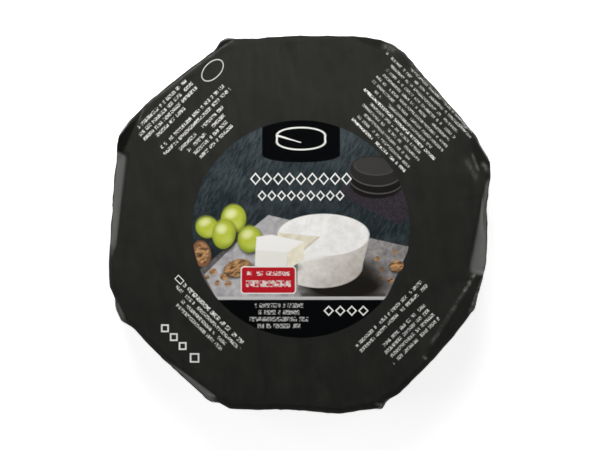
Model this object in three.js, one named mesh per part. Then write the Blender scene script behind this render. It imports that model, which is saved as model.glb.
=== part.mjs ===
// Soft-ripened cheese wheel in its wrappers: the wheel itself, a clear film round it, an outer paper
// wrapper folded into an eight-sided parcel, and a round label that holds the folds shut underneath.
// Millimetres, +Z up. The origin is the middle of the base, on the surface that the parcel stands on.

import * as THREE from "three";
import { mergeVertices } from "three/addons/utils/BufferGeometryUtils.js";

// ---- driving dimensions -----------------------------------------------------------------------

// the cheese
const WHEEL_RADIUS = 55;
const WHEEL_HEIGHT = 26;
const WHEEL_EDGE = 5;
const WHEEL_SIDE_BULGE = 0.25;

// clearance kept between pieces that touch, and the walls that stand in for thin sheet
const GAP = 0.3;
const FILM_WALL = 0.4;
const PAPER_WALL = 0.5;

// the eight-sided paper parcel: flats across the axes and across the diagonals, and its corners
const SIDES = 8;
const HALF_ACROSS_AXES = 57;
const HALF_ACROSS_DIAGONALS = 58;
const CORNER_ROUNDING = 22;
const PARCEL_EDGE = 6.4;

// the wings that the axis panels lay over the diagonal ones: how far their free edges stand out at
// the base edge and half-way up the side
const WING_STEP = 0.8;
const WING_STEP_HALF_WAY = 0.45;

// the hole in the middle of the folds, and the label that covers it
const FOLD_HOLE_RADIUS = 4;
const LABEL_RADIUS = 31;
const LABEL_THICKNESS = 0.3;
const RECESS_RADIUS = LABEL_RADIUS + GAP;

// ---- the stack, from the surface up -------------------------------------------------------------

const RECESS_ROOF = LABEL_THICKNESS + GAP;
const PAPER_FLOOR = RECESS_ROOF + PAPER_WALL;
const FILM_BOTTOM = PAPER_FLOOR + GAP;
const WHEEL_BOTTOM = FILM_BOTTOM + FILM_WALL + GAP;
const WHEEL_TOP = WHEEL_BOTTOM + WHEEL_HEIGHT;
const FILM_TOP = WHEEL_TOP + GAP + FILM_WALL;
const PAPER_CEILING = FILM_TOP + GAP;
const PARCEL_TOP = PAPER_CEILING + PAPER_WALL;

// ---- how finely the round shapes are cut -------------------------------------------------------

const ROUND_SEGMENTS = 48;
const EDGE_STEPS = 4;
const COLUMNS_PER_SIDE = 8;
const WING_EDGE_HALF_ANGLE = 0.012;
const WELD_DISTANCE = 1e-4;

// ---- helpers ------------------------------------------------------------------------------------

const point = (r, z) => new THREE.Vector2(r, z);

/** Points of a quarter turn round (r, z), from one angle to another, in degrees. */
function arc(r, z, radius, fromDegrees, toDegrees, steps = EDGE_STEPS) {
  const points = [];
  for (let i = 0; i <= steps; i++) {
    const angle = THREE.MathUtils.degToRad(fromDegrees + ((toDegrees - fromDegrees) * i) / steps);
    points.push(point(r + radius * Math.cos(angle), z + radius * Math.sin(angle)));
  }
  return points;
}

/** A lathe's seam and poles welded shut. */
function closed(lathe) {
  lathe.deleteAttribute("normal");
  lathe.deleteAttribute("uv");
  const welded = mergeVertices(lathe, WELD_DISTANCE);
  welded.computeVertexNormals();
  return welded;
}

/** A lathe about +Z, from (radius, height) points that run up the outside. */
function turned(profile) {
  return closed(new THREE.LatheGeometry(profile, ROUND_SEGMENTS).rotateX(Math.PI / 2));
}

function named(name, geometry, colour, roughness) {
  const material = new THREE.MeshStandardMaterial({ color: colour, roughness, metalness: 0 });
  const mesh = new THREE.Mesh(geometry, material);
  mesh.name = name;
  return mesh;
}

// ---- the cheese and its film --------------------------------------------------------------------

/** Profile of a disc with rounded edges and a side that swells a little, from base to top. */
function discProfile(radius, bottom, top, edge, bulge) {
  const middle = (bottom + top) / 2;
  return [
    point(0, bottom),
    ...arc(radius - edge, bottom + edge, edge, -90, 0),
    point(radius + bulge, middle),
    ...arc(radius - edge, top - edge, edge, 0, 90),
    point(0, top),
  ];
}

function wheelGeometry() {
  return turned(
    discProfile(WHEEL_RADIUS - WHEEL_SIDE_BULGE, WHEEL_BOTTOM, WHEEL_TOP, WHEEL_EDGE, WHEEL_SIDE_BULGE),
  );
}

/** The film is a skin all round the wheel, gathered to a small opening in the middle of the base. */
function filmGeometry() {
  const inner = WHEEL_RADIUS + GAP;
  const outer = inner + FILM_WALL;
  const innerEdge = WHEEL_EDGE + GAP;
  const outerEdge = innerEdge + FILM_WALL;
  const outside = [
    point(FOLD_HOLE_RADIUS, FILM_BOTTOM),
    ...arc(outer - outerEdge, FILM_BOTTOM + outerEdge, outerEdge, -90, 0),
    ...arc(outer - outerEdge, FILM_TOP - outerEdge, outerEdge, 0, 90),
    point(0, FILM_TOP),
  ];
  const inside = [
    point(0, FILM_TOP - FILM_WALL),
    ...arc(inner - innerEdge, FILM_TOP - FILM_WALL - innerEdge, innerEdge, 90, 0),
    ...arc(inner - innerEdge, FILM_BOTTOM + FILM_WALL + innerEdge, innerEdge, 0, -90),
    point(FOLD_HOLE_RADIUS, FILM_BOTTOM + FILM_WALL),
    point(FOLD_HOLE_RADIUS, FILM_BOTTOM),
  ];
  return turned([...outside, ...inside]);
}

// ---- the folded paper ---------------------------------------------------------------------------

const SIDE_ANGLE = (2 * Math.PI) / SIDES;

// A wing's free edge moves away from its corner as the paper runs down, by the slope of a gusset folded
// flat, and it stops short of the middle of the panel that it lies over.
const WING_SLOPE = Math.sin(SIDE_ANGLE / 2);
const WIDEST_TURN = 0.9 * (SIDE_ANGLE / 2);

/** Distance from the middle to a flat. Even flats face along the axes, odd ones along the diagonals. */
function flatDistance(index) {
  return index % 2 === 0 ? HALF_ACROSS_AXES : HALF_ACROSS_DIAGONALS;
}

/**
 * Distance from the middle to the parcel's side at an angle: straight flats, joined at each corner
 * by an arc of CORNER_ROUNDING that touches both of them.
 */
function planRadius(angle) {
  const index = Math.round(angle / SIDE_ANGLE);
  const nextIndex = index + Math.sign(angle - index * SIDE_ANGLE || 1);
  const offset = Math.abs(angle - index * SIDE_ANGLE);
  const here = flatDistance(index);
  const next = flatDistance(nextIndex);

  // the arc's centre lies where both flats, moved in by the rounding, cross
  const inHere = here - CORNER_ROUNDING;
  const inNext = next - CORNER_ROUNDING;
  const across = (inNext - inHere * Math.cos(SIDE_ANGLE)) / Math.sin(SIDE_ANGLE);
  const flat = here / Math.cos(offset);
  if (flat * Math.sin(offset) <= across) {
    return flat;
  }
  const centre = Math.hypot(inHere, across);
  const swing = offset - Math.atan2(across, inHere);
  return centre * Math.cos(swing) + Math.sqrt(CORNER_ROUNDING ** 2 - (centre * Math.sin(swing)) ** 2);
}

/**
 * One pass round the parcel, panel by panel. The paper of a panel that faces along an axis runs on as
 * a wing past both of its corners and lies over the next panels, so it stands out at its two ends.
 */
function columns() {
  const list = [];
  for (let panel = 0; panel < SIDES; panel++) {
    const wings = panel % 2 === 0;
    for (let i = 0; i < COLUMNS_PER_SIDE; i++) {
      const across = (2 * i) / (COLUMNS_PER_SIDE - 1) - 1;
      list.push({ centre: panel * SIDE_ANGLE, across, wings, lift: wings ? Math.abs(across) : 0 });
    }
  }
  return list;
}

/** Angle of a column at a radius, where the paper has run down by a distance from the top. */
function columnAngle({ centre, across, wings }, radius, down) {
  const reach = Math.min(1, (WING_SLOPE * down) / Math.max(radius, FOLD_HOLE_RADIUS));
  const turn = Math.min(Math.asin(reach), WIDEST_TURN);
  const half = SIDE_ANGLE / 2 - WING_EDGE_HALF_ANGLE + (wings ? turn : -turn);
  return centre + across * half;
}

/**
 * The paper's section, as rows of {z, down} with either a plain radius or an inset from the plan, and
 * a wing's step out there. It runs from the fold hole under the base, out and up the side, to the
 * middle of the top, and back inside at a wall's distance.
 */
function paperRows() {
  const rows = [];
  const round = (radius, z) => rows.push({ radius, z, down: PARCEL_TOP - z, step: 0 });
  const onPlan = (inset, z, step) => rows.push({ inset, z, down: PARCEL_TOP - z, step });
  const edgeInside = PARCEL_EDGE - PAPER_WALL;

  round(FOLD_HOLE_RADIUS, RECESS_ROOF);
  round(RECESS_RADIUS, RECESS_ROOF);
  round(RECESS_RADIUS, 0);
  for (const p of arc(0, PARCEL_EDGE, PARCEL_EDGE, -90, 0)) {
    onPlan(PARCEL_EDGE - p.x, p.y, (WING_STEP * p.x) / PARCEL_EDGE);
  }
  onPlan(0, PARCEL_TOP / 2, WING_STEP_HALF_WAY);
  for (const p of arc(0, PARCEL_TOP - PARCEL_EDGE, PARCEL_EDGE, 0, 90)) {
    onPlan(PARCEL_EDGE - p.x, p.y, 0);
  }
  round(0, PARCEL_TOP);

  round(0, PAPER_CEILING);
  for (const p of arc(0, PAPER_CEILING - edgeInside, edgeInside, 90, 0)) {
    onPlan(PARCEL_EDGE - p.x, p.y, 0);
  }
  for (const p of arc(0, PAPER_FLOOR + edgeInside, edgeInside, 0, -90)) {
    onPlan(PARCEL_EDGE - p.x, p.y, 0);
  }
  round(FOLD_HOLE_RADIUS, PAPER_FLOOR);
  return rows;
}

/** The section swept round the parcel, with each column on the plan and moved along with the wings. */
function paperGeometry() {
  const rows = paperRows();
  const pass = columns();
  const profile = rows.map((row) => point(row.radius ?? HALF_ACROSS_AXES - row.inset, row.z));
  profile.push(profile[0].clone());
  const lathe = new THREE.LatheGeometry(profile, pass.length);

  const position = lathe.getAttribute("position");
  for (let column = 0; column <= pass.length; column++) {
    const spot = pass[column % pass.length];
    for (let i = 0; i < profile.length; i++) {
      const row = rows[i % rows.length];
      const angle = columnAngle(spot, profile[i].x, row.down);
      const radius = row.radius ?? planRadius(angle) - row.inset + spot.lift * row.step;
      const vertex = column * profile.length + i;
      position.setXYZ(vertex, radius * Math.cos(angle), radius * Math.sin(angle), row.z);
    }
  }
  return closed(lathe);
}

// ---- the label ------------------------------------------------------------------------------------

function labelGeometry() {
  return turned([
    point(0, 0),
    point(LABEL_RADIUS, 0),
    point(LABEL_RADIUS, LABEL_THICKNESS),
    point(0, LABEL_THICKNESS),
  ]);
}

// ---- the parcel -----------------------------------------------------------------------------------

const parcel = new THREE.Group();
parcel.add(
  named("cheese_wheel", wheelGeometry(), 0xf1ece0, 0.8),
  named("inner_film", filmGeometry(), 0xe9ebea, 0.25),
  named("outer_wrapper", paperGeometry(), 0x2b2b29, 0.6),
  named("base_label", labelGeometry(), 0xe8e6df, 0.6),
);

export default parcel;
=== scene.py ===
"""A soft-ripened cheese wheel in clear film and black printed paper, folded to an eight-sided parcel.

Shapes are worked out in millimetres and scaled to metres when a piece is finished. Colours are given
as 0-255 shades and made linear by shade(). The parcel's paper is one sheet, folded from flat.
"""

import bisect
import logging
import math
import random
from dataclasses import dataclass
from enum import Enum, IntEnum

import bmesh
import bpy
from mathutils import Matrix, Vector, noise


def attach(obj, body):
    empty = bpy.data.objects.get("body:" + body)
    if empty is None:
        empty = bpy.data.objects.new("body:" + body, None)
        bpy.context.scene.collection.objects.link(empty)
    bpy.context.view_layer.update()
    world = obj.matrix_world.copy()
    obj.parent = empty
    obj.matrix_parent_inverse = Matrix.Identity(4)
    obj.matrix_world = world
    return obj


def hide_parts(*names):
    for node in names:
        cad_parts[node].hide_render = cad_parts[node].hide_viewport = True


LOG = logging.getLogger("parcel")
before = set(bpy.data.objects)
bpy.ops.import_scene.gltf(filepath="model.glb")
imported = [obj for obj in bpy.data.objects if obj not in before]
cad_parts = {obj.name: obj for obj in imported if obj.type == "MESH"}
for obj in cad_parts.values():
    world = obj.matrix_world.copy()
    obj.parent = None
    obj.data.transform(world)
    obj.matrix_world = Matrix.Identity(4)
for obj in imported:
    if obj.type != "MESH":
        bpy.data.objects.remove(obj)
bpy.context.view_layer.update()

MM = 0.001
FULL_TURN = 2 * math.pi
HALF_TURN_DEGREES = 180
BRIGHTEST = 255
BODY = "root"
WELD = 1e-5

# how a screen turns a stored shade into light: a straight foot, then a power
CURVE_FOOT_END = 0.04045
CURVE_FOOT = 12.92
CURVE_OFFSET = 0.055
CURVE_POWER = 2.4

Colour = tuple[float, float, float]
Point = tuple[float, float]


# ---- small helpers -------------------------------------------------------------------------------


def shade(red: float, green: float, blue: float) -> Colour:
    """Turn a shade as a screen shows it into linear light.

    Args:
        red: Red, from 0 to 255.
        green: Green, from 0 to 255.
        blue: Blue, from 0 to 255.

    Returns:
        The three linear values, from 0 to 1.
    """

    def linear(value: float) -> float:
        """Return one channel as linear light."""
        part = value / BRIGHTEST
        if part <= CURVE_FOOT_END:
            return part / CURVE_FOOT
        return ((part + CURVE_OFFSET) / (1 + CURVE_OFFSET)) ** CURVE_POWER

    return (linear(red), linear(green), linear(blue))


def smooth(value: float) -> float:
    """Return 0 below 0, 1 above 1, and an S-shaped rise between."""
    value = min(1.0, max(0.0, value))
    return value * value * (3 - 2 * value)


def mix(start: float, end: float, share: float) -> float:
    """Return the number that lies a share of the way from start to end."""
    return start + (end - start) * share


def direction(degrees: float) -> Vector:
    """Return the flat unit vector at an angle from +X."""
    turn = math.radians(degrees)
    return Vector((math.cos(turn), math.sin(turn)))


def finished(name: str, shape: bmesh.types.BMesh, material: bpy.types.Material) -> bpy.types.Object:
    """Scale a shape to metres and make it a smooth-shaded object.

    Args:
        name: The object's name.
        shape: The shape, in millimetres. It is freed.
        material: What the object is made of.

    Returns:
        The object, at the origin.
    """
    bmesh.ops.scale(shape, vec=(MM, MM, MM), verts=shape.verts)
    mesh = bpy.data.meshes.new(name)
    shape.to_mesh(mesh)
    shape.free()
    mesh.polygons.foreach_set("use_smooth", [True] * len(mesh.polygons))
    mesh.materials.append(material)
    piece = bpy.data.objects.new(name, mesh)
    bpy.context.scene.collection.objects.link(piece)
    return piece


def chain(shape: bmesh.types.BMesh, points: list[tuple[float, float, float]]) -> list:
    """Join points by edges, one after the other.

    Args:
        shape: Where the vertices and edges are made.
        points: The points, in order.

    Returns:
        The new vertices and edges, as a spin takes them.
    """
    corners = [shape.verts.new(point) for point in points]
    edges = [shape.edges.new(pair) for pair in zip(corners, corners[1:])]
    return [*corners, *edges]


def spun(points: list[tuple[float, float, float]], steps: int) -> bmesh.types.BMesh:
    """Turn a chain of points all the way round the Z axis.

    Args:
        points: The chain, in the XZ plane.
        steps: How many faces go round.

    Returns:
        The turned shape, with its seam and its poles merged.
    """
    shape = bmesh.new()
    bmesh.ops.spin(
        shape,
        geom=chain(shape, points),
        cent=(0, 0, 0),
        axis=(0, 0, 1),
        dvec=(0, 0, 0),
        angle=FULL_TURN,
        steps=steps,
        use_merge=True,
        use_normal_flip=False,
        use_duplicate=False,
    )
    bmesh.ops.remove_doubles(shape, verts=shape.verts, dist=WELD)
    bmesh.ops.recalc_face_normals(shape, faces=shape.faces)
    return shape


# ---- nodes for the finishes ----------------------------------------------------------------------


class Field:
    """A number that changes over a surface, held as the output of a node."""

    def __init__(self, bench: "NodeBench", socket: bpy.types.NodeSocket) -> None:
        """Hold a socket and the bench that its node stands on."""
        self.bench = bench
        self.socket = socket

    def __add__(self, other: "Field | float") -> "Field":
        """Return the sum."""
        return self.bench.number("ADD", self, other)

    def __sub__(self, other: "Field | float") -> "Field":
        """Return the difference."""
        return self.bench.number("SUBTRACT", self, other)

    def __mul__(self, other: "Field | float") -> "Field":
        """Return the product."""
        return self.bench.number("MULTIPLY", self, other)

    def larger(self, other: "Field | float") -> "Field":
        """Return the larger of the two."""
        return self.bench.number("MAXIMUM", self, other)

    def size(self) -> "Field":
        """Return the number without its sign."""
        return self.bench.number("ABSOLUTE", self)

    def whole(self) -> "Field":
        """Return the whole number below."""
        return self.bench.number("FLOOR", self)

    def above(self, level: float) -> "Field":
        """Return 1 where the number is over a level, and 0 elsewhere."""
        return self.bench.number("GREATER_THAN", self, level)

    def times_plus(self, factor: float, extra: float, clamp: bool = False) -> "Field":
        """Return the number times a factor plus an extra, kept from 0 to 1 when clamp is set."""
        return self.bench.number("MULTIPLY_ADD", self, factor, extra, clamp=clamp)


class NodeBench:
    """A material under construction, with short ways to add its nodes."""

    STIR_X = 12.9898
    STIR_Y = 78.233
    STIR_Z = 37.719
    STIR_ALL = 437.5453

    def __init__(self, name: str) -> None:
        """Start a material with only a Principled shader and its output."""
        self.material = bpy.data.materials.new(name)
        self.material.use_nodes = True
        self.nodes = self.material.node_tree.nodes
        self.nodes.clear()
        self.shader = self.nodes.new("ShaderNodeBsdfPrincipled")
        output = self.nodes.new("ShaderNodeOutputMaterial")
        self.join(self.shader.outputs["BSDF"], output.inputs["Surface"])

    def join(self, value: object, socket: bpy.types.NodeSocket) -> None:
        """Link a field or a socket to an input, or set the input to a plain value."""
        if isinstance(value, Field):
            value = value.socket
        if isinstance(value, bpy.types.NodeSocket):
            self.material.node_tree.links.new(value, socket)
        elif isinstance(value, tuple) and len(value) == 3 and socket.type == "RGBA":
            socket.default_value = (*value, 1.0)
        else:
            socket.default_value = value

    def set(self, **inputs: object) -> None:
        """Set or link the shader's inputs, by name with _ for spaces."""
        for name, value in inputs.items():
            self.join(value, self.shader.inputs[name.replace("_", " ")])

    def number(self, operation: str, *values: object, clamp: bool = False) -> Field:
        """Add a Math node.

        Args:
            operation: The node's operation.
            values: Its inputs, as fields or numbers.
            clamp: Whether the result is kept from 0 to 1.

        Returns:
            The node's result.
        """
        node = self.nodes.new("ShaderNodeMath")
        node.operation = operation
        node.use_clamp = clamp
        for value, socket in zip(values, node.inputs):
            self.join(value, socket)
        return Field(self, node.outputs[0])

    def vector(self, operation: str, *values: object) -> bpy.types.NodeSocket:
        """Add a Vector Math node.

        Args:
            operation: The node's operation.
            values: Its inputs, as sockets or tuples.

        Returns:
            The vector that comes out.
        """
        node = self.nodes.new("ShaderNodeVectorMath")
        node.operation = operation
        for value, socket in zip(values, node.inputs):
            self.join(value, socket)
        return node.outputs["Vector"]

    def along(self, place: bpy.types.NodeSocket, x: float, y: float, past: float = 0.0) -> Field:
        """Return how far a place with 1 as its third number lies along (x, y), past a distance."""
        node = self.nodes.new("ShaderNodeVectorMath")
        node.operation = "DOT_PRODUCT"
        self.join(place, node.inputs[0])
        node.inputs[1].default_value = (x, y, -past)
        return Field(self, node.outputs["Value"])

    def place(self, x: object, y: object, z: object) -> bpy.types.NodeSocket:
        """Return a vector made of three numbers."""
        node = self.nodes.new("ShaderNodeCombineXYZ")
        for value, socket in zip((x, y, z), node.inputs):
            self.join(value, socket)
        return node.outputs[0]

    def parts(self, vector: bpy.types.NodeSocket) -> list[Field]:
        """Return the three numbers of a vector."""
        node = self.nodes.new("ShaderNodeSeparateXYZ")
        self.join(vector, node.inputs[0])
        return [Field(self, output) for output in node.outputs]

    def moved(
        self,
        place: bpy.types.NodeSocket,
        origin: tuple[float, float, float],
        degrees: float,
        scale: tuple[float, float, float],
    ) -> bpy.types.NodeSocket:
        """Return a place as seen from a frame with its own origin, turn about Z and scale."""
        node = self.nodes.new("ShaderNodeMapping")
        node.vector_type = "TEXTURE"
        self.join(place, node.inputs["Vector"])
        node.inputs["Location"].default_value = origin
        node.inputs["Rotation"].default_value = (0, 0, math.radians(degrees))
        node.inputs["Scale"].default_value = scale
        return node.outputs[0]

    def grain(self, place: bpy.types.NodeSocket, size: float, detail: float = 3, rough: float = 0.5) -> Field:
        """Return smooth noise, about 0.5 on average.

        Args:
            place: Where the noise is read.
            size: How large its lumps are, in the unit of the place.
            detail: How many finer layers it has.
            rough: How strong the finer layers are.

        Returns:
            The noise.
        """
        node = self.nodes.new("ShaderNodeTexNoise")
        self.join(place, node.inputs["Vector"])
        node.inputs["Scale"].default_value = 1 / size
        node.inputs["Detail"].default_value = detail
        node.inputs["Roughness"].default_value = rough
        return Field(self, node.outputs[0])

    def chance(self, x: Field, y: "Field | float", z: "Field | float" = 0.0) -> Field:
        """Return a number from 0 to 1 that jumps about for each whole x, y and z."""
        stirred = self.number("MULTIPLY_ADD", y, self.STIR_Y, z * self.STIR_Z)
        stirred = self.number("MULTIPLY_ADD", x, self.STIR_X, stirred)
        return self.number("FRACT", self.number("SINE", stirred) * self.STIR_ALL)

    def blend(self, share: Field, first: object, second: object) -> bpy.types.NodeSocket:
        """Return a colour between two others."""
        node = self.nodes.new("ShaderNodeMix")
        node.data_type = "RGBA"
        self.join(share, node.inputs[0])
        self.join(first, node.inputs[6])
        self.join(second, node.inputs[7])
        return node.outputs[2]

    def relief(self, height: Field, strength: float = 1.0) -> bpy.types.NodeSocket:
        """Return the normal of a surface whose height is given in millimetres."""
        node = self.nodes.new("ShaderNodeBump")
        node.inputs["Strength"].default_value = strength
        node.inputs["Distance"].default_value = MM
        self.join(height, node.inputs["Height"])
        return node.outputs["Normal"]

    def own_millimetres(self) -> bpy.types.NodeSocket:
        """Return the object's own coordinates, in millimetres."""
        node = self.nodes.new("ShaderNodeTexCoord")
        return self.vector("MULTIPLY", node.outputs["Object"], (1 / MM, 1 / MM, 1 / MM))


class Painter:
    """Lays colour over colour on a print, each inside its own mask."""

    EDGE = 0.15
    SLANT = 0.7071
    DIAMOND_SHARPNESS = 6
    DIAMOND_HALF_LINE = 0.7

    def __init__(self, bench: NodeBench, place: bpy.types.NodeSocket, ground: object) -> None:
        """Start with a ground colour, on a place in millimetres with 1 as its third number."""
        self.bench = bench
        self.place = place
        self.colour = ground

    def lay(self, mask: Field, colour: object) -> None:
        """Lay a colour inside a mask."""
        self.colour = self.bench.blend(mask, self.colour, colour)

    def oval(
        self,
        x: float,
        y: float,
        half_x: float,
        half_y: float,
        turn: float = 0,
        soft: float = EDGE,
    ) -> Field:
        """Return the mask of an oval.

        Args:
            x: Its middle.
            y: Its middle.
            half_x: Half its width before it is turned.
            half_y: Half its height before it is turned.
            turn: Its turn, in degrees.
            soft: How wide its blurred edge is.

        Returns:
            The mask, 1 inside.
        """
        wide = direction(turn) / half_x
        high = direction(turn + 90) / half_y
        middle = Vector((x, y))
        along = self.bench.along(self.place, wide.x, wide.y, wide.dot(middle))
        up = self.bench.along(self.place, high.x, high.y, high.dot(middle))
        out = self.bench.number("MULTIPLY_ADD", along, along, up * up)
        steepness = min(half_x, half_y) / soft / 2
        return out.times_plus(-steepness, steepness + 0.5, clamp=True)

    def shape(self, corners: tuple[Point, ...], soft: float = EDGE) -> Field:
        """Return the mask of a shape with straight sides that bulges everywhere.

        Args:
            corners: Its corners, anticlockwise.
            soft: How wide its blurred edge is.

        Returns:
            The mask, 1 inside.
        """
        outside = None
        for here, after in zip(corners, corners[1:] + corners[:1]):
            side = Vector(after) - Vector(here)
            normal = Vector((side.y, -side.x)).normalized()
            past = self.bench.along(self.place, normal.x, normal.y, normal.dot(Vector(here)))
            outside = past if outside is None else outside.larger(past)
        return outside.times_plus(-1 / soft, 0.5, clamp=True)

    def diamond(self, x: float, y: float, reach: float, turn: float = 0, line: float = 0.42) -> Field:
        """Return the mask of a diamond's outline.

        Args:
            x: Its middle.
            y: Its middle.
            reach: Half its width and height.
            turn: Its turn, in degrees.
            line: How wide the line is.

        Returns:
            The mask, 1 on the line.
        """
        wide = direction(turn)
        high = direction(turn + 90)
        middle = Vector((x, y))
        along = self.bench.along(self.place, wide.x, wide.y, wide.dot(middle)).size()
        up = self.bench.along(self.place, high.x, high.y, high.dot(middle)).size()
        off = (along + up - (reach - line)).size()
        half_line = self.DIAMOND_HALF_LINE * line
        return off.times_plus(-self.DIAMOND_SHARPNESS, 0.5 + self.DIAMOND_SHARPNESS * half_line, clamp=True)

    def block(self, left: float, bottom: float, right: float, top: float) -> Field:
        """Return the mask of an upright rectangle."""
        return self.shape(((left, bottom), (right, bottom), (right, top), (left, top)))

    def soft_block(self, left: float, bottom: float, right: float, top: float, cut: float) -> Field:
        """Return the mask of an upright rectangle with its corners cut off."""
        middle = Vector(((left + right) / 2, (bottom + top) / 2))
        width, height = right - left, top - bottom
        along = self.bench.along(self.place, 1, 0, middle.x).size()
        up = self.bench.along(self.place, 0, 1, middle.y).size()
        corner = (along + up).times_plus(self.SLANT, self.SLANT * (cut - (width + height) / 2))
        outside = along.times_plus(1, -width / 2).larger(up.times_plus(1, -height / 2)).larger(corner)
        return outside.times_plus(-1 / self.EDGE, 0.5, clamp=True)


# ---- the print -----------------------------------------------------------------------------------


@dataclass(frozen=True)
class DashRows:
    """Rows of short dashes that fill the place of small print, without letters.

    They are set on a frame that looks outward at facing degrees: rows count outward from first, and
    dashes run clockwise round the parcel. Each dash is drawn as a few bars, one above the other.
    """

    BARS = 3
    WORD_CELLS = 2.1
    WORD_SEED = 4
    SEED_SHIFT = 7
    ROW_SHARPNESS = 9
    END_SHARPNESS = 5

    facing: float
    first: float
    count: int
    pitch: float
    half_width: float
    narrowest: float
    middle: float = 0.0
    height: float = 1.05
    widening: float = 0.0
    cell: float = 0.34
    gap: float = 0.17
    seed: float = 1.0
    strength: float = 0.8

    def mask(self, bench: NodeBench, place: bpy.types.NodeSocket) -> Field:
        """Build the rows' mask.

        Args:
            bench: Where the nodes go.
            place: The place, with 1 as its third number.

        Returns:
            The mask, 1 on the dashes.
        """
        out = direction(self.facing)
        rows = bench.along(place, out.x / self.pitch, out.y / self.pitch, self.first / self.pitch - 0.5)
        row = rows.whole()
        off_line = (rows - row).times_plus(self.pitch, -self.pitch / 2)
        across = bench.along(place, out.y, -out.x, self.middle)
        end = bench.chance(row, self.seed).times_plus(1 - self.narrowest, self.narrowest)
        width = row.times_plus(self.widening, self.half_width)
        run = across.size().times_plus(-1, 0) + width * end
        columns = across.times_plus(1 / self.cell, self.seed * self.SEED_SHIFT)
        column = columns.whole()
        bar = off_line.times_plus(self.BARS / self.height, self.seed).whole()
        ink = bench.chance(column, row, bar).times_plus(1.7, -0.3, clamp=True)
        word = columns.times_plus(1 / self.WORD_CELLS, 0).whole()
        word = bench.chance(word, row, self.seed + self.WORD_SEED).above(self.gap)
        half_row = self.ROW_SHARPNESS * self.height / 2
        inside_row = off_line.size().times_plus(-self.ROW_SHARPNESS, half_row + 0.5, clamp=True)
        inside_run = run.times_plus(self.END_SHARPNESS, 0, clamp=True)
        first_row = row.above(-0.5)
        last_row = row.times_plus(-1, self.count).above(0.5) * self.strength
        return ink * word * inside_row * inside_run * first_row * last_row


class Tone(Enum):
    """Colours of the print."""

    INK_WHITE = shade(236, 236, 231)
    BAND = shade(4, 5, 7)
    BAND_RIM = shade(198, 198, 196)
    BADGE = shade(190, 18, 34)
    SLATE_DEEP = shade(27, 36, 41)
    SLATE_PALE = shade(76, 87, 91)
    POT = shade(40, 39, 38)
    POT_RIM = shade(80, 79, 76)
    POT_INSIDE = shade(58, 56, 55)
    POT_FOOT = shade(24, 22, 22)
    POT_GAP = shade(25, 23, 22)
    CLOTH_DEEP = shade(38, 34, 41)
    CLOTH_PALE = shade(66, 60, 68)
    BOARD_DEEP = shade(100, 97, 97)
    BOARD_PALE = shade(172, 168, 166)
    BOARD_LIT_DEEP = shade(150, 147, 149)
    BOARD_LIT_PALE = shade(208, 205, 206)
    BOARD_FRONT = shade(92, 88, 88)
    TABLE_DEEP = shade(60, 60, 64)
    TABLE_PALE = shade(124, 120, 118)
    SHADOW = shade(48, 44, 42)
    SHADOW_DEEP = shade(30, 27, 23)
    RIND = shade(240, 236, 229)
    RIND_TOP = shade(250, 249, 246)
    RIND_LIT = shade(250, 248, 244)
    RIND_SIDE = shade(216, 210, 203)
    RIND_DEEP = shade(166, 157, 148)
    PASTE = shade(249, 243, 222)
    PASTE_DEEP = shade(232, 222, 196)
    CUT_FACE = shade(240, 238, 230)
    CREAM_DEEP = shade(214, 204, 176)
    CREAM = shade(244, 238, 218)
    CREAM_SHADED = shade(168, 156, 132)
    GRAPE = shade(190, 201, 66)
    GRAPE_DEEP = shade(136, 153, 38)
    GRAPE_GLOW = shade(232, 237, 168)
    GRAPE_GLINT = shade(196, 206, 92)
    NUT = shade(134, 92, 62)
    NUT_PALE = shade(206, 158, 106)
    NUT_DEEP = shade(74, 48, 36)


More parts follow.
